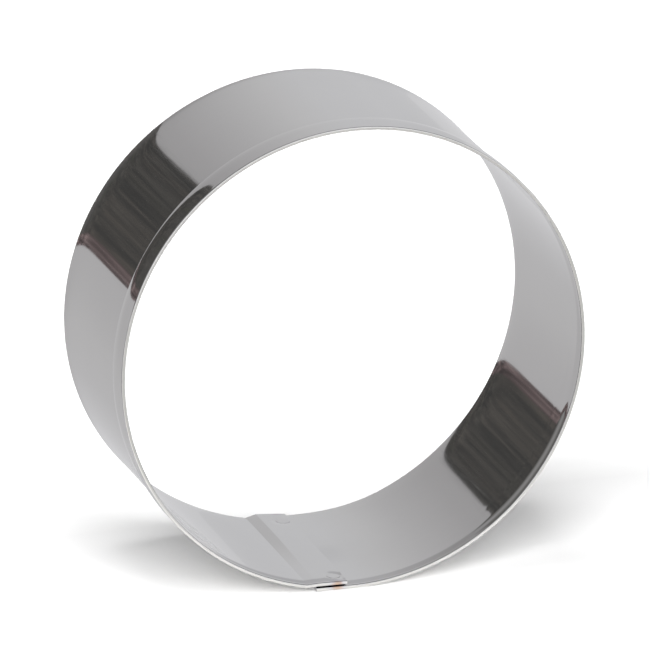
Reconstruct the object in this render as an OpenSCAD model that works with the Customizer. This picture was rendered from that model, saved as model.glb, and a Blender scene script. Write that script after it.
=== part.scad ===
// Round biscuit cutter: one strip of stainless sheet, rolled into a ring.
// The top edge is folded outwards into a hem, the bottom edge is left thin to cut.
// The ends of the strip lap at -Y: the inner end is joggled in by the thickness of the hem,
// the outer end lies flat over it, and two spot welds hold them together.
// The ring stands on its cutting edge at z = 0, with its axis on Z.

/* [Ring] */
// Diameter of the rounds that the ring cuts, across its inside
cut_d = 80; // [50:1:110]
// Height from the cutting edge to the top of the hem
ring_h = 35; // [25:1:60]

/* [Sheet] */
// Thickness of the strip
sheet_t = 0.3; // [0.25:0.05:0.5]

/* [Hem] */
// Height of the flange that is folded down outside the wall
hem_h = 5.5; // [4:0.25:8]
// Height of the fold's roll, from its top down to where the flange starts
roll_h = 0.65; // [0.6:0.05:2]
// Width of the gap inside the fold
fold_gap = 0.25; // [0.1:0.05:0.4]
// Gap between the wall and the free end of the flange
tip_gap = 0.1; // [0.05:0.05:0.4]

/* [Lap] */
// Length over which the two ends of the strip lie on each other
lap_l = 5.4; // [4.5:0.1:12]
// Play between the two ends where they touch
lap_play = 0.05; // [0.02:0.01:0.1]
// Radius of the sharp bend at the start of the joggle
crease_r = 1; // [0.8:0.1:2]
// Radius of the soft bend at the end of the joggle
ramp_r = 2.6; // [1.5:0.1:5]
// Length of the joggle that the outer end covers
ramp_cover = 0.8; // [0.2:0.1:1]
// Length that stays flat beyond the lap, as rolling leaves the end of a strip
flat_lead = 0.6; // [0.2:0.1:3]
// Height up to which the outer end is pressed home on the inner one
seat_h = 10; // [8:0.5:14]
// Length past the lap over which the outer end comes back to the round
return_l = 16; // [10:1:25]

/* [Spot welds] */
// Diameter of each weld
weld_d = 2.4; // [1.8:0.1:3]
// Distance from the end of the inner leaf to the middle of the welds
weld_inset = 1.7; // [1.6:0.1:2.2]
// Height of the lower weld above the cutting edge
edge_weld_z = 4.2; // [3:0.1:6]
// Depth of the dent that the welding tip leaves
weld_dent = 0.05; // [0.02:0.01:0.1]

/* [Hidden] */

$fn = 360;
steel = [0.74, 0.74, 0.75];
weld_tint = [0.66, 0.55, 0.45];

// How far a cutting tool runs past the faces that it cuts
overrun = 1;
// Straight pieces in each face of the roll
roll_steps = 8;
// Sections along each bend of the joggle, the inner leaf and the outer end's return
crease_steps = 6;
ramp_steps = 8;
leaf_steps = 5;
return_steps = 18;
// Pressing the joint takes this much off each face of the ends, and off their edge
press_off = 0.01;
// How far the pressed ends run into the round part
splice_l = 0.3;

// Ring
wall_r = cut_d / 2;
lap_dir = -90;

// Hem: the roll is the upper half of an oval whose centre stands outside the wall
roll_in = [fold_gap / 2, roll_h - sheet_t];
roll_out = [fold_gap / 2 + sheet_t, roll_h];
roll_c = [sheet_t + fold_gap / 2, ring_h - roll_h];
hem_t = 2 * sheet_t + fold_gap;
tip_z = ring_h - hem_h;
flange_tilt = atan((fold_gap - tip_gap) / (hem_h - roll_h));
flange_l = (hem_h - roll_h) / cos(flange_tilt);

// Angle that a length takes up on the inside of the wall
function arc_angle(l) = l / wall_r * 180 / PI;
function dir(a) = [cos(a), sin(a)];

// Lap: the two ends reach past each other by lap_l, half of it on each side of lap_dir
half_lap = arc_angle(lap_l) / 2;
outer_end = lap_dir - half_lap;
inner_end = lap_dir + half_lap;
flat_l = lap_l + flat_lead;
flat_start = outer_end + arc_angle(flat_l);
return_start = inner_end + arc_angle(return_l);
splice_angle = arc_angle(splice_l);

// Joggle: two bends that touch, measured at the middle of the hem
joggle_depth = hem_t + lap_play;
mid_r = wall_r + hem_t / 2;
crease_c_r = mid_r - crease_r;
ramp_c_r = mid_r - joggle_depth + ramp_r;
bends_r = crease_r + ramp_r;
joggle_angle = acos((pow(crease_c_r, 2) + pow(ramp_c_r, 2) - pow(bends_r, 2))
                    / (2 * crease_c_r * ramp_c_r));
crease_angle = 180 - acos((pow(crease_c_r, 2) + pow(bends_r, 2) - pow(ramp_c_r, 2))
                          / (2 * crease_c_r * bends_r));
leaf_start = outer_end + arc_angle(ramp_cover);
joggle_start = leaf_start - joggle_angle;
leaf_r = wall_r - joggle_depth;
crease_c = crease_c_r * dir(joggle_start);
ramp_c = ramp_c_r * dir(leaf_start);

// Lean: below the flange the outer end has no hem under it, and leans in to the inner leaf
lean_depth = joggle_depth - sheet_t - lap_play;

// Welds
weld_dir = inner_end - arc_angle(weld_inset);
hem_weld_z = ring_h - hem_h / 2;

// Places between two values, both ends included
function steps(from, to, count) = [for (i = [0 : count]) from + (to - from) * i / count];

// One face of the roll in section, as wide and high as the given half widths
function roll_arc(half) = [
    for (a = steps(180, 0, roll_steps)) roll_c + [half.x * cos(a), half.y * sin(a)]
];

// Free end of the flange, on the face that starts at a half width from the roll's centre
function flange_tip(half, l) = roll_c + [half.x, 0] + l * dir(-90 - flange_tilt);

// One face of the strip in section, from the cutting edge over the roll to the flange's free end:
// x is how far outwards of the wall's inside it lies, y its height
function face_points(x, edge_z, half, l) =
    concat([[x, edge_z], [x, seat_h], [x, tip_z]], roll_arc(half), [flange_tip(half, l)]);

function backwards(list) = [for (i = [len(list) - 1 : -1 : 0]) list[i]];

// Closed section of the strip, with an amount taken off all round
function strip_section(off) = concat(
    face_points(sheet_t - off, off, roll_in + [off, off], flange_l - off),
    backwards(face_points(off, off, roll_out - [off, off], flange_l - off))
);
end_section = strip_section(press_off);

// Share of the lean at a height: all of it on the seat, none from the flange up
function lean_at(z) = min(1, max(0, (tip_z - z) / (tip_z - seat_h)));

// Eased step from 0 to 1
function ease(t) = t * t * (3 - 2 * t);

// A station of the strip: place on the inside of the wall, direction outwards, share of the lean
function station(place, out_angle, lean) = [place, dir(out_angle), lean];
function round_station(r, a, lean) = station(r * dir(a), a, lean);

// Section of the strip's end, set up at a station
function set_up(s) = [
    for (p = end_section)
        let (q = s[0] + (p.x - lean_depth * s[2] * lean_at(p.y)) * s[1])
        [q.x, q.y, p.y]
];

inner_stations = concat(
    [for (a = [joggle_start - splice_angle, joggle_start]) round_station(wall_r, a, 0)],
    [for (i = [1 : crease_steps])
        let (a = joggle_start + crease_angle * i / crease_steps)
        station(crease_c + (crease_r - hem_t / 2) * dir(a), a, 0)],
    [for (i = [1 : ramp_steps])
        let (a = leaf_start + (joggle_start + crease_angle - leaf_start) * (1 - i / ramp_steps))
        station(ramp_c - (ramp_r + hem_t / 2) * dir(a), a, 0)],
    [for (i = [1 : leaf_steps])
        round_station(leaf_r, leaf_start + (inner_end - leaf_start) * i / leaf_steps, 0)]
);

outer_stations = concat(
    [station(wall_r * dir(flat_start) + flat_l * dir(flat_start - 90), flat_start, 1)],
    [for (a = steps(flat_start, return_start, return_steps))
        round_station(wall_r, a, ease(min(1, (return_start - a) / (return_start - inner_end))))],
    [round_station(wall_r, return_start + splice_angle, 0)]
);

// Solid through a row of stations that goes anticlockwise round the ring
module strip_through(stations) {
    n = len(end_section);
    pairs = n / 2;
    last = (len(stations) - 1) * n;
    cap = [for (i = [0 : pairs - 2]) each [
        [n - 1 - i, i, i + 1],
        [n - 1 - i, i + 1, n - 2 - i]
    ]];
    polyhedron(
        points = [for (s = stations) each set_up(s)],
        faces = concat(
            [for (f = cap) backwards(f)],
            [for (f = cap) [for (v = f) v + last]],
            [for (k = [0 : n : last - n], i = [0 : n - 1])
                let (j = (i + 1) % n)
                each [[k + i, k + j, k + n + j], [k + i, k + n + j, k + n + i]]]
        )
    );
}

// Round part of the strip, from the outer end's return to the joggle. Each of its ends lies
// between the last two stations of the pressed end that runs into it.
module round_part() {
    rotate(return_start + splice_angle / 2)
        rotate_extrude(angle = 360 + joggle_start - return_start - splice_angle)
            translate([wall_r, 0])
                polygon(strip_section(0));
}

// Round bar through both leaves, between two distances from the ring's axis
module weld_bar(z, from, to) {
    rotate(weld_dir)
        translate([from, 0, z])
            rotate([0, 90, 0])
                cylinder(h = to - from, d = weld_d);
}

// Distance of the outer end's wall from the ring's axis at the welds
weld_wall_r = wall_r / cos(flat_start - weld_dir);
// How far the flange has come in at the upper weld
flange_in = tan(flange_tilt) * (roll_c.y - hem_weld_z);
hem_weld_out = weld_wall_r + hem_t - flange_in;
edge_weld_out = weld_wall_r - lean_depth + sheet_t;

module ring_band() {
    color(steel)
        difference() {
            union() {
                round_part();
                strip_through(inner_stations);
                strip_through(outer_stations);
            }
            weld_bar(hem_weld_z, leaf_r - overrun, hem_weld_out + overrun);
            weld_bar(edge_weld_z, leaf_r - overrun, edge_weld_out + overrun);
        }
}

module hem_weld() {
    color(weld_tint)
        weld_bar(hem_weld_z, leaf_r + weld_dent, hem_weld_out - weld_dent);
}

module edge_weld() {
    color(weld_tint)
        weld_bar(edge_weld_z, leaf_r + weld_dent, edge_weld_out - weld_dent);
}

ring_band();
hem_weld();
edge_weld();
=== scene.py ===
"""Looks of a round biscuit cutter: the polished steel band with its hem and lap, the two spot
welds, and the studio that they are shown in. Lengths are in metres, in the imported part's frame."""

import math
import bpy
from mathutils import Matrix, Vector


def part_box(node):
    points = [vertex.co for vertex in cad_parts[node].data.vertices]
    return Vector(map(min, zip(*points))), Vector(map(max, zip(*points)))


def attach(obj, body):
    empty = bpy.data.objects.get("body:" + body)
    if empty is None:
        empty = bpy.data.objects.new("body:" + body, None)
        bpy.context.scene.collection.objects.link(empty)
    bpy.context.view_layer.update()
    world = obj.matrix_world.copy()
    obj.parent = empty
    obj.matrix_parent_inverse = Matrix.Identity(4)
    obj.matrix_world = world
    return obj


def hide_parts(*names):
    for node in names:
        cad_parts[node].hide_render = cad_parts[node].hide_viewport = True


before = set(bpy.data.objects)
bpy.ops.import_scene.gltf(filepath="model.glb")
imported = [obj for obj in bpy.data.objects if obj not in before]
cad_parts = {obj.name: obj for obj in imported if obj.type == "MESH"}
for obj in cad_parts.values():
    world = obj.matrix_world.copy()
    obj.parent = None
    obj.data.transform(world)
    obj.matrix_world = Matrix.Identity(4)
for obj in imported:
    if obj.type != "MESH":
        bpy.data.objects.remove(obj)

from types import SimpleNamespace

import bmesh
import bpy
from mathutils import Matrix, Vector

bl_info = {
    "name": "Biscuit Cutter",
    "version": (1, 0, 0),
    "blender": (4, 5, 0),
    "location": "View3D > Sidebar > Cutter",
    "description": "Builds a round biscuit cutter from polished sheet, with its hem, lap and welds",
    "category": "Add Mesh",
}

MM = 0.001
BAND_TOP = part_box("ring_band")[1].z
UP = Vector((0, 0, 1))


def length(name, text, mm):
    """A length that a user can change, given here in millimetres."""
    return bpy.props.FloatProperty(
        name=name, description=text, default=mm * MM, min=0, precision=5,
        subtype="DISTANCE", unit="LENGTH")


def angle(name, text, degrees):
    """An angle that a user can change, given here in degrees."""
    return bpy.props.FloatProperty(
        name=name, description=text, default=math.radians(degrees), subtype="ANGLE",
        unit="ROTATION")


def power(name, text, watts):
    """A light's power that a user can change."""
    return bpy.props.FloatProperty(
        name=name, description=text, default=watts, min=0, unit="POWER")


def share(name, text, value, high=1):
    """A plain number that a user can change."""
    return bpy.props.FloatProperty(name=name, description=text, default=value, min=0, max=high)


def colour(name, text, rgb):
    """A colour that a user can change."""
    return bpy.props.FloatVectorProperty(
        name=name, description=text, default=rgb, size=3, min=0, max=1, subtype="COLOR")


# ---------------------------------------------------------------- sizes and finishes


class CutterBandSizes(bpy.types.PropertyGroup):
    """Sizes of the steel band."""

    wall_r: length("Inside radius", "Radius of the rounds that the ring cuts", 40)
    ring_h: length("Height", "Height from the cutting edge to the hem", BAND_TOP / MM)
    sheet_t: length("Sheet", "Thickness of the sheet", 0.3)
    edge_round: length("Edge rounding", "Radius on the sheet's cut edges", 0.07)
    hem_h: length("Hem height", "Height of the flange folded down outside", 5.5)
    roll_h: length("Roll height", "Height of the fold's roll above the flange", 0.65)
    blunt: share("Blunt roll", "1 for an oval roll, less for a flatter top", 0.55)
    fold_gap: length("Fold gap", "Gap inside the fold", 0.16)
    tip_gap: length("Flange gap", "Gap between wall and flange at its free end", 0.1)
    belly: length("Fold lean", "How far the wall leans out into the fold", 0.14)
    belly_h: length("Lean height", "Height over which the wall leans out into the fold", 2)
    crown: length("Flange crown", "How far the flange bulges", 0.08)
    imprint: length("Imprint", "Height of the line that the flange's end presses through", 0.004)
    flare: length("Edge flare", "How far the cutting edge springs outwards", 0.13)
    flare_l: length("Flare height", "Height over which the flare dies away", 2)
    row_h: length("Row height", "Height of the mesh rows at the hem and the edge", 0.5)


class CutterLapSizes(bpy.types.PropertyGroup):
    """Sizes of the lap joint."""

    lap_l: length("Lap", "Length over which the two ends lie on each other", 5.4)
    play: length("Play", "Play between the two ends", 0.02)
    crease_r: length("Crease radius", "Radius of the sharp bend of the joggle", 0.6)
    ramp_r: length("Ramp radius", "Radius of the soft bend of the joggle", 0.9)
    ramp_l: length("Ramp", "Length of the straight ramp between the bends", 1.8)
    ramp_cover: length("Covered ramp", "Length of the joggle under the outer end", 0.25)
    flat_lead: length("Flat lead", "Length that stays flat beyond the lap", 0.6)
    seat_h: length("Seat height", "Height up to which the outer end is pressed home", 10)
    return_l: length("Return", "Length over which the outer end comes back to the round", 16)
    twist: length("Twist", "How far the lap turns in at the cutting edge", 0.4)


class CutterWeldSizes(bpy.types.PropertyGroup):
    """Sizes of the spot welds."""

    weld_r: length("Weld radius", "Radius of a weld", 1.2)
    inset: length("Inset", "Distance from the inner end to the welds' middle", 1.7)
    edge_z: length("Lower weld", "Height of the lower weld", 4.2)
    dent: length("Dent", "Depth of the dent round a weld", 0.06)
    proud: length("Proud", "How far a weld stands out of its dent", 0.02)
    dent_r: length("Dent radius", "Radius of the dent round a weld", 2.1)


class CutterSteelLook(bpy.types.PropertyGroup):
    """Colours and finish of the steel."""

    sheet: colour("Sheet", "Colour of the polished sheet", (0.74, 0.737, 0.742))
    nugget: colour("Weld", "Colour of the weld", (0.73, 0.725, 0.73))
    straw: colour("Straw", "Inner colour of the heat tint", (0.62, 0.34, 0.13))
    violet: colour("Violet", "Outer colour of the heat tint", (0.42, 0.36, 0.5))
    roughness: share("Roughness", "Roughness of the polish", 0.045)
    scratches: share("Scratches", "Strength of the handling scratches", 0.35)
    waviness: share("Waviness", "Strength of the sheet's slow waves", 0.2)


class CutterStageSettings(bpy.types.PropertyGroup):
    """The studio and the camera."""

    lap_turn: angle("Lap turn", "How far the lap lies from the lowest point", 5.8)
    floor: colour("Floor", "Colour of the floor", (0.9, 0.9, 0.9))
    # Floor colours that only reflections see: painted reflection tones, brighter just before the
    # ring
    floor_gloss: colour("Floor in steel", "Colour of the floor behind the ring in reflections",
                        (0.59, 0.59, 0.595))
    near_gloss: colour("Near front in steel",
                       "Colour of the floor just before the ring in reflections",
                       (0.92, 0.91, 0.88))
    far_gloss: colour("Front in steel", "Colour of the floor further forward in reflections",
                      (0.54, 0.535, 0.515))
    floor_lift: share("Floor lift", "White that the camera sees on top of the lit floor", 0.02)
    # Painted light: extra white on the floor behind the ring, which washes out the ring's shadow
    # there
    back_lift: share("Back lift", "White on top of the floor behind the ring", 0.3)
    fill: share("Fill", "Strength of the soft light from all round", 0.03)
    key_power: power("Key light", "Power of the large light behind the camera", 207)
    key_size: length("Key size", "Side of the large light behind the camera", 3200)
    top_power: power("Top light", "Power of the small light overhead", 5.7)
    top_size: length("Top size", "Side of the small light overhead", 480)
    floor_back: length("Floor behind", "How far the floor reaches behind the ring", 700)
    mirror_back: length("Mirrored floor", "How far behind the ring the steel shows the floor", 22)
    contact: length("Contact", "Half depth of the floor under the ring that mirrors leave out",
                    17.3)
    card_far: length("Card distance", "Distance of the cards behind the ring", 1600)
    lens: length("Lens", "Focal length for a 36 mm wide sensor", 595.1)


# ---------------------------------------------------------------- layout


# Brings the highest point of the flange's curve to 1
CROWN_SCALE = 1.87


def round_step(t):
    """Eased step from 0 to 1."""
    t = min(1, max(0, t))
    return t * t * (3 - 2 * t)


def towards(a):
    """Unit vector in the ring's plane at an angle."""
    return Vector((math.cos(a), math.sin(a), 0))


def crown_at(band, along):
    """How far the flange bulges at a share of its height, from the roll down."""
    return band.crown * CROWN_SCALE * along * (1 - along**4)


def lap_layout(band, lap, weld):
    """Angles and centres of the lap, which is at -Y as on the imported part."""
    def arc(along):
        return along / band.wall_r

    at = SimpleNamespace()
    lap_dir = -math.pi / 2
    at.roll_x = band.wall_r + band.fold_gap / 2 + band.sheet_t
    at.roll_z = band.ring_h - band.roll_h
    at.hem_t = 2 * band.sheet_t + band.fold_gap
    at.tip_z = band.ring_h - band.hem_h
    at.tilt = math.atan((band.fold_gap - band.tip_gap) / (band.hem_h - band.roll_h))
    at.flange_l = (band.hem_h - band.roll_h) / math.cos(at.tilt)
    outer_end = lap_dir - arc(lap.lap_l) / 2
    at.inner_end = lap_dir + arc(lap.lap_l) / 2
    at.flat_l = lap.lap_l + lap.flat_lead
    at.flat_start = outer_end + arc(at.flat_l)
    at.return_start = at.inner_end + arc(lap.return_l)
    at.depth = at.hem_t + band.crown + lap.play
    mid_r = band.wall_r + at.hem_t / 2
    crease_c_r = mid_r - lap.crease_r
    ramp_c_r = mid_r - at.depth + lap.ramp_r
    bends_r = lap.crease_r + lap.ramp_r
    apart = math.hypot(bends_r, lap.ramp_l)
    at.along = towards(at.flat_start + math.pi / 2)
    at.ramp_c = (ramp_c_r * towards(at.flat_start)
                 - (at.flat_l - lap.ramp_cover) * at.along)
    far = at.ramp_c.length
    joggle = math.acos((crease_c_r**2 + far**2 - apart**2) / (2 * crease_c_r * far))
    at.joggle_start = math.atan2(at.ramp_c.y, at.ramp_c.x) - joggle
    at.crease_c = crease_c_r * towards(at.joggle_start)
    at.crease = math.pi - math.atan2(lap.ramp_l, bends_r) - math.acos(
        (crease_c_r**2 + apart**2 - far**2) / (2 * crease_c_r * apart))
    at.lean = at.depth - band.sheet_t - lap.play
    at.ramp_reach = at.along.dot(at.ramp_c - at.crease_c)
    at.leaf_l = lap.lap_l - lap.ramp_cover
    at.weld_dir = at.inner_end - arc(weld.inset)
    at.hem_weld_z = band.ring_h - band.hem_h / 2
    at.weld_wall_r = band.wall_r / math.cos(at.flat_start - at.weld_dir)
    at.weld_leaf_r = at.weld_wall_r - at.depth
    drop = at.roll_z - at.hem_weld_z
    at.hem_out = (at.weld_wall_r + at.hem_t - drop * math.tan(at.tilt)
                  + crown_at(band, drop / (at.roll_z - at.tip_z)))
    return at


# ---------------------------------------------------------------- mesh helpers


def only(geom, kind):
    """The vertices, edges or faces among the geometry that an operator gives back."""
    return [g for g in geom if isinstance(g, kind)]


def pull(bm, edge, way):
    """Extrudes an edge by a vector and returns the new edge."""
    made = bmesh.ops.extrude_edge_only(bm, edges=[edge])["geom"]
    bmesh.ops.translate(bm, verts=only(made, bmesh.types.BMVert), vec=way)
    return only(made, bmesh.types.BMEdge)[0]


def sweep(bm, region, centre, turn, step):
    """Turns a region about an upright axis and leaves a solid behind it."""
    steps = max(1, round(abs(turn) / step))
    made = bmesh.ops.spin(
        bm, geom=region, cent=centre, axis=UP, angle=turn, steps=steps,
        use_merge=False, use_duplicate=False)
    return made["geom_last"]


def push_on(bm, faces, way, rows):
    """Extrudes the faces at the strip's end along a vector, in rows, and returns the new end."""
    for _ in range(rows):
        made = bmesh.ops.extrude_face_region(bm, geom=faces)["geom"]
        faces = only(made, bmesh.types.BMFace)
        bmesh.ops.translate(bm, verts=only(made, bmesh.types.BMVert), vec=way / rows)
    return faces


def finish_piece(bm, name, material, body, nodes):
    """Makes the object of a finished piece, riding on its body in place of its CAD nodes."""
    bmesh.ops.recalc_face_normals(bm, faces=bm.faces)
    mesh = bpy.data.meshes.new(name)
    bm.to_mesh(mesh)
    bm.free()
    mesh.materials.append(material)
    piece = bpy.data.objects.new(name, mesh)
    bpy.context.scene.collection.objects.link(piece)
    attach(piece, body)
    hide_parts(*nodes)


# ---------------------------------------------------------------- steel band


# The mesh's rows lie close together up to this far above the cutting edge, and again from this
# far below the flange's free end
CLOSE_EDGE, CLOSE_HEM = 6 * MM, 2 * MM
# Sections round the roll, along a flat end and along the ramp
ROLL_STEPS, END_ROWS, RAMP_ROWS = 28, 16, 6
# Turn from one section to the next: on the round, in the crease and in the ramp's bend
ROUND_STEP, CREASE_STEP, RAMP_STEP = (math.radians(a) for a in (1.5, 4, 3))
# Half width of the line that the flange's end presses through
IMPRINT_W = 0.35 * MM
# Share of a dent's radius that is flat
DENT_FLAT = 0.6


def wall_rows(band, at):
    """Heights of the mesh rows on the wall: close at the edge and the hem, wider between."""
    rows, z = [2 * band.edge_round], 2 * band.edge_round
    while z < at.roll_z - band.row_h / 2:
        close = z < CLOSE_EDGE or z > at.tip_z - CLOSE_HEM
        z += band.row_h if close else 2 * band.row_h
        rows.append(min(z, at.roll_z))
    rows[-1] = at.roll_z
    return rows


def draw_section(bm, band, at):
    """Draws the cross-section of the folded strip upright on the X axis, as one row of faces."""
    foot = [bm.verts.new((band.wall_r + x, 0, 0)) for x in (0, band.sheet_t)]
    edge, z = bm.edges.new(foot), 0
    ends = list(foot)
    for row in wall_rows(band, at):
        edge = pull(bm, edge, Vector((0, 0, row - z)))
        z = row
    made = bmesh.ops.spin(
        bm, geom=[edge, *edge.verts], cent=(at.roll_x, 0, at.roll_z), axis=(0, 1, 0),
        angle=math.pi + at.tilt, steps=ROLL_STEPS, use_merge=False, use_duplicate=False)
    edge = only(made["geom_last"], bmesh.types.BMEdge)[0]
    down = Vector((-math.sin(at.tilt), 0, -math.cos(at.tilt)))
    rows = round(at.flange_l / band.row_h)
    clear = 2 * band.edge_round
    for _ in range(rows):
        edge = pull(bm, edge, down * (at.flange_l - clear) / rows)
    edge = pull(bm, edge, down * clear)
    ends += edge.verts
    bmesh.ops.bevel(
        bm, geom=ends, affect="VERTICES", offset=band.edge_round, offset_type="OFFSET",
        segments=3, profile=0.5, material=-1)
    press_section(bm, band, at)


def press_section(bm, band, at):
    """Gives the section its springy shape: oval roll, flare, lean into the fold and crown."""
    rise = band.roll_h / (at.roll_x - band.wall_r)
    for v in bm.verts:
        x, z = v.co.x - band.wall_r, v.co.z
        low = band.ring_h - band.belly_h
        lean = band.belly * round_step((z - low) / (at.roll_z - low))
        v.co.x += lean * (1 - x / at.hem_t)
        if z > at.roll_z:
            out, up = x + band.wall_r - at.roll_x, z - at.roll_z
            r = math.hypot(out, up)
            v.co.x += math.copysign(r * abs(out / r) ** band.blunt, out) - out
            v.co.z = at.roll_z + r * rise * (up / r) ** band.blunt
        elif x > band.sheet_t + band.tip_gap / 2:
            along = (at.roll_z - z) / (at.roll_z - at.tip_z)
            v.co.x += crown_at(band, along)
        else:
            v.co.x += band.flare * math.exp(-z / band.flare_l)
            v.co.x -= band.imprint * math.exp(-((z - at.tip_z) / IMPRINT_W) ** 2)


def lean_outer_end(bm, lap, at):
    """Leans the outer end in to the inner one below the flange, and lets it come back."""
    for v in bm.verts:
        a = math.atan2(v.co.y, v.co.x)
        back = round_step((at.return_start - a) / (at.return_start - at.inner_end))
        low = round_step((at.tip_z - v.co.z) / (at.tip_z - lap.seat_h))
        v.co -= towards(max(a, at.flat_start)) * at.lean * back * low


def twist_at(lap, at, place, z):
    """How far the lap is turned in at a place in it and a height."""
    reach = at.along.dot(place - at.ramp_c)
    part = 1 + reach / at.ramp_reach if reach < 0 else 1 - reach / at.leaf_l
    low = round_step((at.tip_z - z) / (at.tip_z - lap.seat_h))
    return lap.twist * max(0, part) * low


def twist_lap(bm, lap, at):
    """Turns both ends in towards the cutting edge, most where the inner leaf starts."""
    out = towards(at.flat_start)
    for v in bm.verts:
        if out.dot(v.co) > 0:
            v.co -= out * twist_at(lap, at, v.co, v.co.z)


def weld_faces(band, lap, weld, at):
    """Height of each weld and the distances of its pressed faces from the axis."""
    turned = twist_at(lap, at, towards(at.weld_dir) * at.weld_wall_r, weld.edge_z)
    low_out = at.weld_wall_r - at.lean + band.sheet_t - turned
    return [(at.hem_weld_z, at.weld_leaf_r + weld.dent, at.hem_out - weld.dent),
            (weld.edge_z, at.weld_leaf_r - turned + weld.dent, low_out - weld.dent)]


def dent_welds(bm, band, lap, weld, at):
    """Presses the flat dents of the welding tips into both faces of the lap."""
    axis, side = towards(at.weld_dir), towards(at.weld_dir + math.pi / 2)
    faces = weld_faces(band, lap, weld, at)
    for v in bm.verts:
        for z, inside, outside in faces:
            away = math.hypot(side.dot(v.co), v.co.z - z) / weld.dent_r
            reach = axis.dot(v.co)
            press = 1 - round_step((away - DENT_FLAT) / (1 - DENT_FLAT))
            if reach > outside - band.sheet_t / 2:
                v.co += axis * (outside - reach) * press
            elif 0 < reach < inside + band.sheet_t / 2:
                v.co += axis * (inside - reach) * press


def build_band(band, lap, weld, at, material):
    """The whole strip: flat outer end, return, round, joggle and inner leaf, as one solid."""
    bm = bmesh.new()
    draw_section(bm, band, at)
    bmesh.ops.rotate(bm, verts=bm.verts, matrix=Matrix.Rotation(at.flat_start, 3, "Z"))
    start = list(bm.faces)
    region = [*bm.verts, *bm.edges, *bm.faces]
    region = sweep(bm, region, (0, 0, 0), at.return_start - at.flat_start, ROUND_STEP)
    start = push_on(bm, start, towards(at.flat_start - math.pi / 2) * at.flat_l, END_ROWS)
    lean_outer_end(bm, lap, at)
    region = sweep(
        bm, region, (0, 0, 0), math.tau + at.joggle_start - at.return_start, ROUND_STEP)
    region = sweep(bm, region, at.crease_c, at.crease, CREASE_STEP)
    down = towards(at.joggle_start + at.crease + math.pi / 2) * lap.ramp_l
    ends = push_on(bm, only(region, bmesh.types.BMFace), down, RAMP_ROWS)
    region = list(dict.fromkeys(g for f in ends for g in (f, *f.edges, *f.verts)))
    ramp = at.flat_start - at.joggle_start - at.crease
    region = sweep(bm, region, at.ramp_c, ramp, RAMP_STEP)
    end = push_on(bm, only(region, bmesh.types.BMFace), at.along * at.leaf_l, END_ROWS)
    twist_lap(bm, lap, at)
    dent_welds(bm, band, lap, weld, at)
    caps = [*start, *end]
    for e in {e for f in caps for e in f.edges}:
        e.smooth = sum(f in caps for f in e.link_faces) != 1
    for f in bm.faces:
        f.smooth = True
    finish_piece(bm, "steel_band", material, "root", ["ring_band"])


# ---------------------------------------------------------------- spot welds


# Depth of the dish in a weld's face, as a share of the depth of the dent round it
DISH_SHARE = 0.15
# Section of a weld's face from its middle out: depth in dishes, and share of the radius
NUGGET_FACE = ((1, 0), (0.8, 0.35), (0, 0.75), (0.2, 0.92), (2, 1))
# Sections round a weld
NUGGET_STEPS = 48


def build_weld(name, weld, at, z, inside, outside, node, material):
    """A weld: a round nugget through both leaves with a dished face at each end."""
    bm = bmesh.new()
    dish = weld.dent * DISH_SHARE
    profile = [(inside + deep * dish, out * weld.weld_r) for deep, out in NUGGET_FACE]
    profile += [(outside - deep * dish, out * weld.weld_r) for deep, out in reversed(NUGGET_FACE)]
    verts = [bm.verts.new((x, y, 0)) for x, y in profile]
    edges = [bm.edges.new(pair) for pair in zip(verts, verts[1:])]
    bmesh.ops.spin(
        bm, geom=[*verts, *edges], cent=(0, 0, 0), axis=(1, 0, 0), angle=math.tau,
        steps=NUGGET_STEPS, use_merge=True, use_duplicate=False)
    bmesh.ops.remove_doubles(bm, verts=bm.verts, dist=MM / 1000)
    place = Matrix.Translation((0, 0, z)) @ Matrix.Rotation(at.weld_dir, 4, "Z")
    bmesh.ops.transform(bm, matrix=place, verts=bm.verts)
    for f in bm.faces:
        f.smooth = True
    finish_piece(bm, name, material, "root", [node])


# ---------------------------------------------------------------- materials


def feed(tree, socket, value):
    """Links a socket to another one, or sets it to a plain number, vector or colour."""
    if isinstance(value, bpy.types.NodeSocket):
        tree.links.new(value, socket)
    elif isinstance(value, (int, float, Vector)):
        socket.default_value = value
    else:
        socket.default_value = (*value, 1)


def node_of(tree, kind, **values):
    """Adds a node, sets its own settings, and sets or links its inputs."""
    node = tree.nodes.new(kind)
    for key, value in values.items():
        if hasattr(node, key):
            setattr(node, key, value)
        else:
            feed(tree, node.inputs[key.replace("_", " ")], value)
    return node


def maths(tree, operation, *values, clamp=False):
    """A Math node on sockets or plain numbers."""
    node = node_of(tree, "ShaderNodeMath", operation=operation, use_clamp=clamp)
    for socket, value in zip(node.inputs, values):
        feed(tree, socket, value)
    return node.outputs[0]


def weighted(tree, *terms):
    """The sum of sockets, each times a weight of its own."""
    total, *others = [maths(tree, "MULTIPLY", value, weight) for value, weight in terms]
    for other in others:
        total = maths(tree, "ADD", total, other)
    return total


def mixed(tree, factor, a, b, blend_type="MIX"):
    """One colour mixed into another, each a socket or a plain colour."""
    return node_of(tree, "ShaderNodeMix", data_type="RGBA", blend_type=blend_type,
                   Factor=factor, A=a, B=b).outputs["Result"]


def own_place(tree):
    """Place in the object's own coordinates."""
    return tree.nodes.new("ShaderNodeTexCoord").outputs["Object"]


def parts_of(tree, place):
    """The X, Y and Z of a place."""
    split = tree.nodes.new("ShaderNodeSeparateXYZ")
    tree.links.new(place, split.inputs[0])
    return split.outputs


def stretched(tree, place, scale, turn=(0, 0, 0)):
    """A place turned and scaled, so that a pattern on it runs one way."""
    return node_of(tree, "ShaderNodeMapping", Vector=place, Scale=Vector(scale),
                   Rotation=Vector(turn)).outputs[0]


def noise_of(tree, place, scale, detail, roughness, distortion=0):
    """Noise from 0 to 1."""
    return node_of(tree, "ShaderNodeTexNoise", Vector=place, Scale=scale, Detail=detail,
                   Roughness=roughness, Distortion=distortion).outputs["Fac"]


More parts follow.
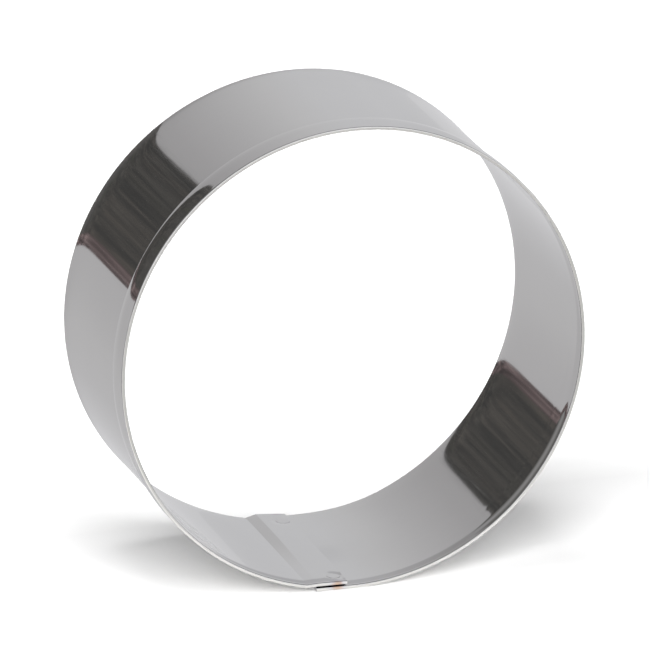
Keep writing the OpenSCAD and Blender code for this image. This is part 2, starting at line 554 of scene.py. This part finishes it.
def ramp_of(tree, fac, stops):
    """A colour ramp with its stops as (place, colour)."""
    ramp = tree.nodes.new("ShaderNodeValToRGB")
    while len(ramp.color_ramp.elements) < len(stops):
        ramp.color_ramp.elements.new(1)
    for element, (place, rgb) in zip(ramp.color_ramp.elements, stops):
        element.position, element.color = place, (*rgb, 1)
    tree.links.new(fac, ramp.inputs["Fac"])
    return ramp.outputs["Color"]


def new_group(name, inputs, outputs):
    """A shader node group with named sockets."""
    group = bpy.data.node_groups.new(name, "ShaderNodeTree")
    for in_out, sockets in (("INPUT", inputs), ("OUTPUT", outputs)):
        for label, kind in sockets:
            group.interface.new_socket(label, in_out=in_out, socket_type="NodeSocket" + kind)
    return group, group.nodes.new("NodeGroupInput"), group.nodes.new("NodeGroupOutput")


def group_node(tree, name, build, **values):
    """A shared node group, built when it is first asked for, with values of its own."""
    node = tree.nodes.new("ShaderNodeGroup")
    node.node_tree = bpy.data.node_groups.get(name) or build(name)
    for key, value in values.items():
        feed(tree, node.inputs[key], value)
    return node


def new_material(name):
    """An empty node material and its output node."""
    material = bpy.data.materials.new(name)
    material.use_nodes = True
    material.node_tree.nodes.clear()
    return material, material.node_tree, material.node_tree.nodes.new("ShaderNodeOutputMaterial")


# Radius at which the rolling lines are laid on the ring
LINES_R = 40 * MM
# How fast the rolling lines and the hair scratches change in a metre, along each axis
LINES_SCALE = (60, 3200, 1)
HAIRS_SCALE = (90, 2400, 90)
HAIRS_TURN = (0.3, 0.5, 0.2)
# Power that leaves only the strongest hairs
HAIRS_POWER = 5


def rolled_sheet_group(name):
    """Marks of rolling and handling: scratches, slow waves and a faint change of tone."""
    group, given, out = new_group(
        name, [("Scratches", "Float"), ("Waviness", "Float")],
        [("Tone", "Float"), ("Roughness", "Float"), ("Height", "Float")])
    place = own_place(group)
    parts = parts_of(group, place)
    turn = maths(group, "ARCTAN2", parts["Y"], parts["X"])
    strip = node_of(group, "ShaderNodeCombineXYZ",
                    X=maths(group, "MULTIPLY", turn, LINES_R), Y=parts["Z"])
    rolling = noise_of(group, stretched(group, strip.outputs[0], LINES_SCALE), 1, 3, 0.6)
    hairs = noise_of(group, stretched(group, place, HAIRS_SCALE, HAIRS_TURN), 1, 2, 0.5)
    waves = noise_of(group, place, 70, 1, 0.4)
    smudges = noise_of(group, place, 45, 4, 0.6)
    scored = maths(group, "MULTIPLY", maths(group, "POWER", hairs, HAIRS_POWER),
                   given.outputs["Scratches"])
    for label, terms in (
            ("Tone", ((smudges, 0.05), (rolling, 0.03))),
            ("Roughness", ((smudges, 0.04), (scored, 0.6))),
            ("Height", ((waves, given.outputs["Waviness"]), (rolling, 0.004), (scored, 0.02)))):
        group.links.new(weighted(group, *terms), out.inputs[label])
    return group


# How far the violet halo reaches, next to the straw's reach, and how strong it is
HALO_REACH, HALO_SHARE = 1.6, 0.35


def heat_tint_group(name):
    """Colours that welding leaves: straw near the weld, violet further out."""
    group, given, out = new_group(
        name, [("Centre", "Vector"), ("Reach", "Float"), ("Sheet", "Color"),
               ("Straw", "Color"), ("Violet", "Color")], [("Color", "Color")])
    place = own_place(group)
    away = node_of(group, "ShaderNodeVectorMath", operation="DISTANCE")
    group.links.new(place, away.inputs[0])
    group.links.new(given.outputs["Centre"], away.inputs[1])
    ragged = maths(group, "ADD", maths(
        group, "MULTIPLY", noise_of(group, place, 900, 2, 0.5), 0.5), 0.75)
    far = maths(group, "MULTIPLY", maths(
        group, "DIVIDE", away.outputs["Value"], given.outputs["Reach"]), ragged)
    near = maths(group, "SUBTRACT", 1, far, clamp=True)
    halo = maths(group, "MULTIPLY", maths(
        group, "SUBTRACT", HALO_REACH, far, clamp=True), HALO_SHARE)
    outer = mixed(group, halo, given.outputs["Sheet"], given.outputs["Violet"])
    group.links.new(mixed(group, near, outer, given.outputs["Straw"]), out.inputs["Color"])
    return group


# Reach of the straw round a weld, and how far its middle lies off the edge of the sheet
TINT_REACH = 1.3 * MM
TINT_OFF = 0.5 * MM
# Tone of the sheet before its marks, and how much of the roughness is theirs
PLAIN_TONE = 0.96
MARKS_ROUGHNESS = 0.02
# Height of the bumps at full strength
BUMP_H = 0.04 * MM


def tint_centres(band, at):
    """The middles of the heat tint, just above the hem and just below the cutting edge."""
    wall = towards(at.weld_dir) * at.weld_wall_r
    return [wall + UP * (band.ring_h + TINT_OFF), wall - UP * TINT_OFF]


def steel_material(name, base, look, centres):
    """Polished sheet with the marks of rolling and handling, heat-tinted at the centres."""
    material, tree, out = new_material(name)
    marks = group_node(tree, "Rolled Sheet", rolled_sheet_group,
                       Scratches=look.scratches, Waviness=look.waviness).outputs
    tone = base
    for centre in centres:
        tone = group_node(tree, "Heat Tint", heat_tint_group, Centre=centre, Reach=TINT_REACH,
                          Sheet=tone, Straw=look.straw, Violet=look.violet).outputs["Color"]
    bump = node_of(tree, "ShaderNodeBump", Strength=1, Distance=BUMP_H, Height=marks["Height"])
    steel = node_of(
        tree, "ShaderNodeBsdfPrincipled", Metallic=1, Normal=bump.outputs[0],
        Base_Color=mixed(tree, 1, tone, maths(tree, "ADD", marks["Tone"], PLAIN_TONE),
                         blend_type="MULTIPLY"),
        Roughness=maths(tree, "ADD", marks["Roughness"], look.roughness - MARKS_ROUGHNESS))
    tree.links.new(steel.outputs[0], out.inputs["Surface"])
    return material


# ---------------------------------------------------------------- cards


# Colours of the cards along their ramps, on noise for the dark and the brown card. All are painted
# reflection tones
# Painted reflection tones of the pale cards, with painted light falling off towards the left
PALE_STOPS = [(0.15, (0.78, 0.78, 0.78)), (0.2, (0.7, 0.7, 0.7)), (0.3, (0.42, 0.415, 0.416)),
              (0.375, (0.4, 0.394, 0.395)), (0.415, (0.425, 0.418, 0.42)),
              (0.575, (0.6, 0.596, 0.6)), (0.625, (0.635, 0.635, 0.645)),
              (0.68, (0.64, 0.64, 0.652)), (0.7, (0.61, 0.61, 0.622)),
              (0.86, (0.61, 0.61, 0.622)), (0.88, (0.06, 0.06, 0.06))]
LOW_STOPS = [(0.31, (0.51, 0.503, 0.506)), (0.36, (0.554, 0.547, 0.55)),
             (0.43, (0.56, 0.554, 0.56)), (0.51, (0.618, 0.614, 0.624)),
             (0.55, (0.65, 0.647, 0.66)), (0.67, (0.675, 0.674, 0.688)),
             (0.7, (0.66, 0.66, 0.67)), (0.86, (0.66, 0.66, 0.67)),
             (0.88, (0.06, 0.06, 0.06))]
# Painted dark reflection: dark tones with faint light streaks
STREAK_STOPS = [(0.34, (0.075, 0.075, 0.062)), (0.41, (0.052, 0.052, 0.05)),
              (0.435, (0.115, 0.108, 0.1)), (0.46, (0.05, 0.05, 0.049)),
              (0.5, (0.056, 0.055, 0.053)), (0.515, (0.14, 0.128, 0.115)),
              (0.54, (0.054, 0.053, 0.052)), (0.585, (0.058, 0.057, 0.055)),
              (0.605, (0.125, 0.112, 0.1)), (0.64, (0.06, 0.059, 0.056))]
# Painted reflection: the brownish band that the steel shows
BROWN_STOPS = [(0.38, (0.06, 0.052, 0.052)), (0.5, (0.12, 0.094, 0.094)),
               (0.62, (0.29, 0.225, 0.22))]
# Colour of the dark card far from the ring's axis, a painted dark reflection
DARK_CARD_FAR = (0.3, 0.295, 0.29)
STREAKS_SCALE, STREAKS_TURN = (16, 2.2, 1), (0, 0, 0.5)
# Distances from the ring's axis, in metres, at which a share starts and stops falling, and the share
# that is left: brightness of the pale card, the dark card's streaks, and the dark border. These
# falloffs are painted light and shade in the reflections
PALE_FALL = (0.87, 0.98, 0.8)
DARK_CARD_FALL = (0.77, 1.35, 0)
BORDER_FALL = (1.42, 1.5, 0.1)
# Width that a card's ramp runs over, in metres
RAMP_W = 4


def from_axis(tree, start, end, last):
    """Share on a card that is 1 near the ring's axis and falls to its last value further out."""
    away = node_of(tree, "ShaderNodeVectorMath", operation="LENGTH")
    tree.links.new(own_place(tree), away.inputs[0])
    return node_of(
        tree, "ShaderNodeMapRange", interpolation_type="SMOOTHSTEP", Value=away.outputs["Value"],
        From_Min=start, From_Max=end, To_Min=1, To_Max=last).outputs["Result"]


def across_card(tree, stops):
    """Colours of a ramp that runs over a card from left to right."""
    x = parts_of(tree, own_place(tree))["X"]
    return ramp_of(tree, maths(tree, "ADD", maths(tree, "DIVIDE", x, RAMP_W), 0.5), stops)


def upper_reflection(tree):
    """A pale card that falls off towards the left, and is light again at its far left: a painted
    reflection whose falloff is painted light.
    """
    return {"Color": across_card(tree, PALE_STOPS),
            "Strength": maths(tree, "MULTIPLY", from_axis(tree, *BORDER_FALL),
                              from_axis(tree, *PALE_FALL))}


def lower_reflection(tree):
    """A pale card below the horizon that falls off towards the left: a painted reflection whose
    falloff is painted light.
    """
    return {"Color": across_card(tree, LOW_STOPS), "Strength": from_axis(tree, *BORDER_FALL)}


def dark_reflection(tree):
    """A dark card with faint streaks: a painted dark reflection that stands in for dark surroundings
    in the steel.
    """
    streaks = noise_of(tree, stretched(tree, own_place(tree), STREAKS_SCALE, STREAKS_TURN),
                     1, 4, 0.6, 0.6)
    return {"Color": mixed(tree, from_axis(tree, *DARK_CARD_FALL), DARK_CARD_FAR,
                           ramp_of(tree, streaks, STREAK_STOPS))}


def brown_reflection(tree):
    """A brown card, mottled: a painted brown reflection."""
    return {"Color": ramp_of(tree, noise_of(tree, own_place(tree), 22, 3, 0.65), BROWN_STOPS)}


# Name and look of each card, and its left, bottom, right and top side in the studio's frame, as
# shares of the cards' distance. Each card stands a step nearer than the one before. The cards glow
# and only reflections see them: they are painted reflections
CARDS = (
    ("pale_card", upper_reflection, (-1.8, -0.9, 1.8, 1.8)),
    ("dark_reflection_card", dark_reflection, (-0.95, -1, -0.286, 0.62)),
    ("brown_reflection_card", brown_reflection, (-0.95, -1, -0.286, -0.002)),
    ("low_card", lower_reflection, (-1.8, -1.8, 1.8, -0.055)),
)
CARD_STEP = 10 * MM


def flat_object(name, sides, place, material):
    """A flat rectangle with its left, bottom, right and top side given, in a place."""
    left, bottom, right, top = sides
    bm = bmesh.new()
    bmesh.ops.create_grid(bm, x_segments=1, y_segments=1, size=0.5)
    bmesh.ops.scale(bm, vec=(right - left, top - bottom, 1), verts=bm.verts)
    bmesh.ops.translate(bm, vec=((left + right) / 2, (bottom + top) / 2, 0), verts=bm.verts)
    mesh = bpy.data.meshes.new(name)
    bm.to_mesh(mesh)
    bm.free()
    mesh.materials.append(material)
    flat = bpy.data.objects.new(name, mesh)
    flat.matrix_world = place
    bpy.context.scene.collection.objects.link(flat)
    return flat


def add_card(name, look, sides, place):
    """An upright card that gives off light of its own colour. Only reflections see it."""
    material, tree, out = new_material(name)
    glow = node_of(tree, "ShaderNodeEmission", **look(tree))
    tree.links.new(glow.outputs[0], out.inputs["Surface"])
    card = flat_object(name, sides, place, material)
    card.visible_camera = card.visible_diffuse = card.visible_shadow = False


# ---------------------------------------------------------------- floor, lights and camera


# Side of the floor, in metres
FLOOR_SIZE = 6
# How far the floor lies below the hem's lowest point
FLOOR_PLAY = 0.02 * MM
# Half width of the floor under the ring that mirrors leave out
CONTACT_SIDE = 30 * MM
# Where the floor's colour in mirrors changes, forward of the ring's middle; these colours are
# painted reflection tones
GLOSS_AT = (-8 * MM, 12 * MM, 36 * MM, 88 * MM)
# Length that the ramp of those colours runs over
GLOSS_SPAN = 400 * MM


def gloss_colours(tree, forward, settings):
    """The floor's colours in mirrors, from behind the ring to the front: painted reflection tones.
    """
    colours = (settings.floor_gloss, settings.near_gloss, settings.near_gloss,
               settings.far_gloss)
    place = maths(tree, "ADD", maths(tree, "DIVIDE", forward, GLOSS_SPAN), 0.5)
    return ramp_of(tree, place, [(at / GLOSS_SPAN + 0.5, c) for at, c in zip(GLOSS_AT, colours)])


def floor_material(settings):
    """Pale floor that keeps the shadow and is white to the camera. Mirrors see it in other colours,
    painted reflection tones, and look through it under the ring and well behind it. From below it is
    clear."""
    material, tree, out = new_material("studio_floor")
    link = tree.links.new
    path = tree.nodes.new("ShaderNodeLightPath").outputs
    parts = parts_of(tree, own_place(tree))
    behind = maths(tree, "SUBTRACT", maths(
        tree, "DIVIDE", parts["Y"], settings.mirror_back), 1, clamp=True)

    # Painted reflection tones of the floor, by its place along the ring
    gloss = gloss_colours(tree, maths(tree, "MULTIPLY", parts["Y"], -1), settings)
    paint = node_of(tree, "ShaderNodeBsdfDiffuse",
                    Color=mixed(tree, path["Is Glossy Ray"], settings.floor, gloss))
    # Camera-only white: even over the floor, and behind the ring painted light that washes out the
    # ring's shadow
    white = maths(tree, "ADD", maths(tree, "MULTIPLY", behind, settings.back_lift),
                  settings.floor_lift)
    lift = node_of(tree, "ShaderNodeEmission",
                   Strength=maths(tree, "MULTIPLY", path["Is Camera Ray"], white))
    lit = tree.nodes.new("ShaderNodeAddShader")
    link(paint.outputs[0], lit.inputs[0])
    link(lift.outputs[0], lit.inputs[1])

    under = maths(tree, "MULTIPLY", *[
        maths(tree, "LESS_THAN", maths(tree, "ABSOLUTE", parts[axis]), reach)
        for axis, reach in (("X", CONTACT_SIDE), ("Y", settings.contact))])
    # Light that the steel throws back on the floor still meets all of it, so the shadow stays dark
    in_mirror = maths(tree, "MULTIPLY", path["Is Glossy Ray"],
                      maths(tree, "LESS_THAN", path["Diffuse Depth"], 0.5))
    hidden = maths(tree, "MULTIPLY", maths(tree, "MAXIMUM", behind, under), in_mirror)
    below = tree.nodes.new("ShaderNodeNewGeometry").outputs["Backfacing"]
    clear = tree.nodes.new("ShaderNodeBsdfTransparent")
    pick = tree.nodes.new("ShaderNodeMixShader")
    link(maths(tree, "MAXIMUM", below, hidden), pick.inputs[0])
    link(lit.outputs[0], pick.inputs[1])
    link(clear.outputs[0], pick.inputs[2])
    link(pick.outputs[0], out.inputs["Surface"])
    return material


def add_floor(settings, place, drop):
    """The floor that the cutter stands on, on its side."""
    half, back = FLOOR_SIZE / 2, settings.floor_back
    floor = flat_object(
        "studio_floor", (-half, back - FLOOR_SIZE, half, back),
        place @ Matrix.Translation((0, -drop, 0)) @ Matrix.Rotation(-math.pi / 2, 4, "X"),
        floor_material(settings))


def set_world(settings):
    """White all round for the camera and for reflections, and a softer fill on what is matt."""
    world = bpy.data.worlds.new("studio_white")
    bpy.context.scene.world = world
    world.use_nodes = True
    tree = world.node_tree
    tree.nodes.clear()
    path = tree.nodes.new("ShaderNodeLightPath").outputs
    seen = maths(tree, "ADD", path["Is Camera Ray"], maths(
        tree, "ADD", path["Is Glossy Ray"], path["Is Transmission Ray"]), clamp=True)
    strength = maths(tree, "ADD", maths(tree, "MULTIPLY", seen, 1 - settings.fill), settings.fill)
    sky = node_of(tree, "ShaderNodeBackground", Color=(1, 1, 1), Strength=strength)
    out = tree.nodes.new("ShaderNodeOutputWorld")
    tree.links.new(sky.outputs[0], out.inputs["Surface"])


# Places of the lights in the studio's frame: to the right, up and towards the front, in metres
KEY_AT = (-0.62, 1.06, 2.26)
TOP_AT = (-0.17, 1.29, -0.09)


def add_light(name, spot, studio, size, watts):
    """A square soft light at a spot in the studio's frame, turned to the frame's middle."""
    data = bpy.data.lights.new(name, "AREA")
    data.shape, data.size, data.energy = "SQUARE", size, watts
    light = bpy.data.objects.new(name, data)
    place = studio @ Vector(spot)
    light.matrix_world = Matrix.Translation(place) @ (
        (studio.translation - place).to_track_quat("-Z", "Y").to_matrix().to_4x4())
    light.visible_glossy = False
    bpy.context.scene.collection.objects.link(light)


# The camera's place in millimetres and its right and upward directions, in the studio's frame
CAMERA_AT = (-525.75, 586.39, 1633.56)
CAMERA_RIGHT = (0.95186, 0, 0.30655)
CAMERA_UP = (0.09905, 0.94636, -0.30757)


def add_camera(settings, studio):
    """The camera at the photo's angle, aimed a hair off the ring's middle as the photo is."""
    data = bpy.data.cameras.new("photo_camera")
    data.sensor_width = 36
    data.lens = settings.lens / MM
    data.clip_start, data.clip_end = 0.1, 20
    camera = bpy.data.objects.new("photo_camera", data)
    right = Vector(CAMERA_RIGHT).normalized()
    up = Vector(CAMERA_UP)
    up = (up - right * up.dot(right)).normalized()
    stand = Matrix((right, up, right.cross(up))).transposed().to_4x4()
    stand.translation = Vector(CAMERA_AT) * MM
    camera.matrix_world = studio @ stand
    bpy.context.scene.collection.objects.link(camera)
    bpy.context.scene.camera = camera


# ---------------------------------------------------------------- operators and panel


class CUTTER_OT_add_band(bpy.types.Operator):
    """Build the folded, joggled steel band in place of its CAD node"""

    bl_idname = "cutter.add_band"
    bl_label = "Add Steel Band"

    def execute(self, context):
        scene = context.scene
        band, lap, weld = scene.cutter_band, scene.cutter_lap, scene.cutter_weld
        look = scene.cutter_steel
        at = lap_layout(band, lap, weld)
        material = steel_material("polished_steel", look.sheet, look, tint_centres(band, at))
        build_band(band, lap, weld, at, material)
        return {"FINISHED"}


class CUTTER_OT_add_welds(bpy.types.Operator):
    """Build both spot welds in place of their CAD nodes"""

    bl_idname = "cutter.add_welds"
    bl_label = "Add Spot Welds"

    def execute(self, context):
        scene = context.scene
        band, lap, weld = scene.cutter_band, scene.cutter_lap, scene.cutter_weld
        look = scene.cutter_steel
        at = lap_layout(band, lap, weld)
        material = steel_material("weld_steel", look.nugget, look, tint_centres(band, at))
        for node, (z, inside, outside) in zip(
                ("hem_weld", "edge_weld"), weld_faces(band, lap, weld, at)):
            build_weld(node + "_nugget", weld, at, z, inside - weld.proud, outside + weld.proud,
                       node, material)
        return {"FINISHED"}


class CUTTER_OT_add_stage(bpy.types.Operator):
    """Build the floor, the cards, the lights and the camera"""

    bl_idname = "cutter.add_stage"
    bl_label = "Add Studio"

    def execute(self, context):
        scene = context.scene
        settings, band = scene.cutter_stage, scene.cutter_band
        studio = (Matrix.Translation((0, 0, band.ring_h / 2))
                  @ Matrix.Rotation(settings.lap_turn, 4, "Z"))
        drop = band.wall_r + 2 * band.sheet_t + band.fold_gap + FLOOR_PLAY
        add_floor(settings, studio, drop)
        far = settings.card_far
        for step, (name, look, sides) in enumerate(CARDS):
            add_card(name, look, [side * far for side in sides],
                     studio @ Matrix.Translation((0, 0, step * CARD_STEP - far)))
        add_light("key_light", KEY_AT, studio, settings.key_size, settings.key_power)
        add_light("top_light", TOP_AT, studio, settings.top_size, settings.top_power)
        set_world(settings)
        add_camera(settings, studio)
        scene.view_settings.view_transform = "Standard"
        return {"FINISHED"}


class CUTTER_PT_sidebar(bpy.types.Panel):
    """Sizes, finishes and build buttons of the biscuit cutter"""

    bl_idname = "CUTTER_PT_sidebar"
    bl_label = "Biscuit Cutter"
    bl_space_type = "VIEW_3D"
    bl_region_type = "UI"
    bl_category = "Cutter"

    def draw(self, context):
        for label, group, operator in PANEL_ROWS:
            box = self.layout.box()
            box.label(text=label)
            settings = getattr(context.scene, group)
            for key in settings.bl_rna.properties.keys():
                if key not in ("rna_type", "name"):
                    box.prop(settings, key)
            if operator:
                box.operator(operator)


GROUPS = {
    "cutter_band": CutterBandSizes,
    "cutter_lap": CutterLapSizes,
    "cutter_weld": CutterWeldSizes,
    "cutter_steel": CutterSteelLook,
    "cutter_stage": CutterStageSettings,
}
PANEL_ROWS = (
    ("Band", "cutter_band", "cutter.add_band"),
    ("Lap", "cutter_lap", None),
    ("Welds", "cutter_weld", "cutter.add_welds"),
    ("Steel", "cutter_steel", None),
    ("Studio", "cutter_stage", "cutter.add_stage"),
)
CLASSES = (*GROUPS.values(), CUTTER_OT_add_band, CUTTER_OT_add_welds, CUTTER_OT_add_stage,
           CUTTER_PT_sidebar)


def register():
    for cls in CLASSES:
        bpy.utils.register_class(cls)
    for name, group in GROUPS.items():
        setattr(bpy.types.Scene, name, bpy.props.PointerProperty(type=group))


def unregister():
    for name in GROUPS:
        delattr(bpy.types.Scene, name)
    for cls in reversed(CLASSES):
        bpy.utils.unregister_class(cls)


def main():
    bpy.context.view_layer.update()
    register()
    bpy.ops.cutter.add_stage()
    bpy.ops.cutter.add_band()
    bpy.ops.cutter.add_welds()
    bpy.context.view_layer.update()


if __name__ == "__main__":
    main()
